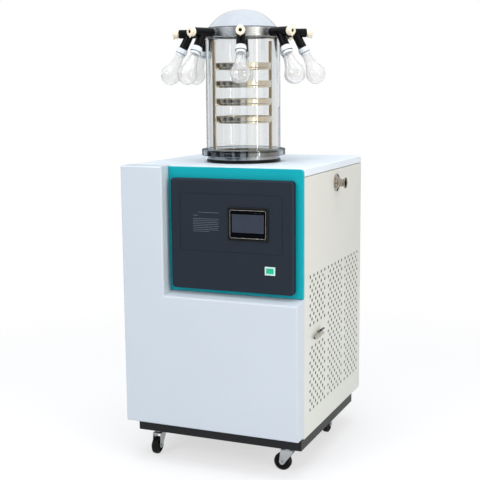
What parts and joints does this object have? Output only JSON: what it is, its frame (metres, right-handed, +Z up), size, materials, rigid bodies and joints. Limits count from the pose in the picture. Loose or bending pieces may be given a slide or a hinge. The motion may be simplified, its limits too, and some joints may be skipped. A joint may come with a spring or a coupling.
{
  "type": "freeze dryer",
  "caption": "Floor-standing laboratory freeze dryer: cabinet on casters with a touch panel, and a clear drying chamber with trays under a manifold head with valves and flasks.",
  "frame": {"origin": "on the floor, at the middle of the footprint's bounding box", "axes": "+Z up, +X to the machine's right side with the vacuum port, -Y to the front with the touch panel"},
  "size_m": [0.692, 0.73, 1.6063],
  "materials": {
    "white_paint": "powder coat",
    "warm_white_paint": "powder coat",
    "teal_paint": "powder coat",
    "slate_plastic": "moulded",
    "black_paint": "satin",
    "black_plastic": "moulded",
    "screen": "glossy",
    "white_plastic": "moulded",
    "green_plastic": "moulded, translucent",
    "ivory_plastic": "moulded",
    "polished_steel": "polished",
    "rack_steel": "satin",
    "zinc": "zinc plated",
    "wheel_rubber": "matte",
    "black_rubber": "satin",
    "brass": "nickel-washed",
    "clear_acrylic": "clear, polished",
    "clear_glass": "clear",
    "copper": "drawn tube",
    "aluminium": "mill finish"
  },
  "bodies": {
    "machine": {"top_deck": "white_paint", "front_cover": "white_paint", "left_side_panel": "warm_white_paint", "right_side_panel": "warm_white_paint", "rear_panel": "warm_white_paint", "control_surround": "teal_paint", "control_panel": "slate_plastic", "chassis_tray": "black_paint", "compressor": "black_paint", "touchscreen": "screen", "switch_bezel": "white_plastic", "vacuum_port": "polished_steel", "base_collar": "polished_steel", "manifold_head": "polished_steel", "cold_trap": "polished_steel", "shelf_rack": "rack_steel", "tray_1": "rack_steel", "tray_2": "rack_steel", "tray_3": "rack_steel", "tray_4": "rack_steel", "base_seal": "black_rubber", "valve_body_1": "black_rubber", "valve_body_2": "black_rubber", "valve_body_3": "black_rubber", "valve_body_4": "black_rubber", "valve_body_5": "black_rubber", "valve_body_6": "black_rubber", "valve_body_7": "black_rubber", "valve_body_8": "black_rubber", "drain_valve": "brass", "chamber_cylinder": "clear_acrylic", "flask_1": "clear_glass", "flask_2": "clear_glass", "flask_3": "clear_glass", "flask_4": "clear_glass", "flask_5": "clear_glass", "flask_6": "clear_glass", "flask_7": "clear_glass", "flask_8": "clear_glass", "evaporator_coil": "copper", "condenser": "aluminium"},
    "power_button": {"power_button": "green_plastic"},
    "drain_lever": {"drain_lever": "black_plastic"},
    "fan_rotor": {"fan_rotor": "black_plastic"},
    "caster_fork_front_left": {"caster_fork_front_left": "zinc"},
    "caster_wheel_front_left": {"caster_wheel_front_left": "wheel_rubber"},
    "caster_fork_front_right": {"caster_fork_front_right": "zinc"},
    "caster_wheel_front_right": {"caster_wheel_front_right": "wheel_rubber"},
    "caster_fork_rear_left": {"caster_fork_rear_left": "zinc"},
    "caster_wheel_rear_left": {"caster_wheel_rear_left": "wheel_rubber"},
    "caster_fork_rear_right": {"caster_fork_rear_right": "zinc"},
    "caster_wheel_rear_right": {"caster_wheel_rear_right": "wheel_rubber"},
    "valve_knob_1": {"valve_knob_1": "ivory_plastic"},
    "valve_knob_2": {"valve_knob_2": "ivory_plastic"},
    "valve_knob_3": {"valve_knob_3": "ivory_plastic"},
    "valve_knob_4": {"valve_knob_4": "ivory_plastic"},
    "valve_knob_5": {"valve_knob_5": "ivory_plastic"},
    "valve_knob_6": {"valve_knob_6": "ivory_plastic"},
    "valve_knob_7": {"valve_knob_7": "ivory_plastic"},
    "valve_knob_8": {"valve_knob_8": "ivory_plastic"}
  },
  "joints": [
    {"name": "caster_swivel_front_left", "type": "hinge", "parent": "machine", "child": "caster_fork_front_left", "pos_m": [-0.272, -0.25, 0.08], "axis": [0, 0, 1], "continuous": true},
    {"name": "caster_roll_front_left", "type": "hinge", "parent": "caster_fork_front_left", "child": "caster_wheel_front_left", "pos_m": [-0.272, -0.272, 0.0315], "axis": [-1, 0, 0], "continuous": true},
    {"name": "caster_swivel_front_right", "type": "hinge", "parent": "machine", "child": "caster_fork_front_right", "pos_m": [0.236, -0.25, 0.08], "axis": [0, 0, 1], "continuous": true},
    {"name": "caster_roll_front_right", "type": "hinge", "parent": "caster_fork_front_right", "child": "caster_wheel_front_right", "pos_m": [0.214, -0.25, 0.0315], "axis": [0, 1, 0], "continuous": true},
    {"name": "caster_swivel_rear_left", "type": "hinge", "parent": "machine", "child": "caster_fork_rear_left", "pos_m": [-0.272, 0.199, 0.08], "axis": [0, 0, 1], "continuous": true},
    {"name": "caster_roll_rear_left", "type": "hinge", "parent": "caster_fork_rear_left", "child": "caster_wheel_rear_left", "pos_m": [-0.283, 0.17995, 0.0315], "axis": [-0.866, 0.5, 0], "continuous": true},
    {"name": "caster_swivel_rear_right", "type": "hinge", "parent": "machine", "child": "caster_fork_rear_right", "pos_m": [0.236, 0.199, 0.08], "axis": [0, 0, 1], "continuous": true},
    {"name": "caster_roll_rear_right", "type": "hinge", "parent": "caster_fork_rear_right", "child": "caster_wheel_rear_right", "pos_m": [0.236, 0.177, 0.0315], "axis": [-1, 0, 0], "continuous": true},
    {"name": "power_button_press", "type": "slide", "parent": "machine", "child": "power_button", "axis": [0, 1, 0], "range_m": [0, 0.0022], "stiffness_N_per_m": 600},
    {"name": "drain_lever_turn", "type": "hinge", "parent": "machine", "child": "drain_lever", "pos_m": [0.321, -0.161, 0.479], "axis": [0, 0, 1], "range_deg": [-90, 0]},
    {"name": "valve_knob_turn_1", "type": "hinge", "parent": "machine", "child": "valve_knob_1", "pos_m": [0.06586, -0.25146, 1.523], "axis": [0.3584, -0.9336, 0], "range_deg": [0, 180]},
    {"name": "valve_knob_turn_2", "type": "hinge", "parent": "machine", "child": "valve_knob_2", "pos_m": [0.19577, -0.12818, 1.523], "axis": [0.9135, -0.4067, 0], "range_deg": [0, 180]},
    {"name": "valve_knob_turn_3", "type": "hinge", "parent": "machine", "child": "valve_knob_3", "pos_m": [0.20046, 0.05086, 1.523], "axis": [0.9336, 0.3584, 0], "range_deg": [0, 180]},
    {"name": "valve_knob_turn_4", "type": "hinge", "parent": "machine", "child": "valve_knob_4", "pos_m": [0.07718, 0.18077, 1.523], "axis": [0.4067, 0.9135, 0], "range_deg": [0, 180]},
    {"name": "valve_knob_turn_5", "type": "hinge", "parent": "machine", "child": "valve_knob_5", "pos_m": [-0.10186, 0.18546, 1.523], "axis": [-0.3584, 0.9336, 0], "range_deg": [0, 180]},
    {"name": "valve_knob_turn_6", "type": "hinge", "parent": "machine", "child": "valve_knob_6", "pos_m": [-0.23177, 0.06218, 1.523], "axis": [-0.9135, 0.4067, 0], "range_deg": [0, 180]},
    {"name": "valve_knob_turn_7", "type": "hinge", "parent": "machine", "child": "valve_knob_7", "pos_m": [-0.23646, -0.11686, 1.523], "axis": [-0.9336, -0.3584, 0], "range_deg": [0, 180]},
    {"name": "valve_knob_turn_8", "type": "hinge", "parent": "machine", "child": "valve_knob_8", "pos_m": [-0.11318, -0.24677, 1.523], "axis": [-0.4067, -0.9135, 0], "range_deg": [0, 180]},
    {"name": "fan_spin", "type": "hinge", "parent": "machine", "child": "fan_rotor", "pos_m": [0.2, 0.157, 0.2563], "axis": [1, 0, 0], "continuous": true}
  ]
}
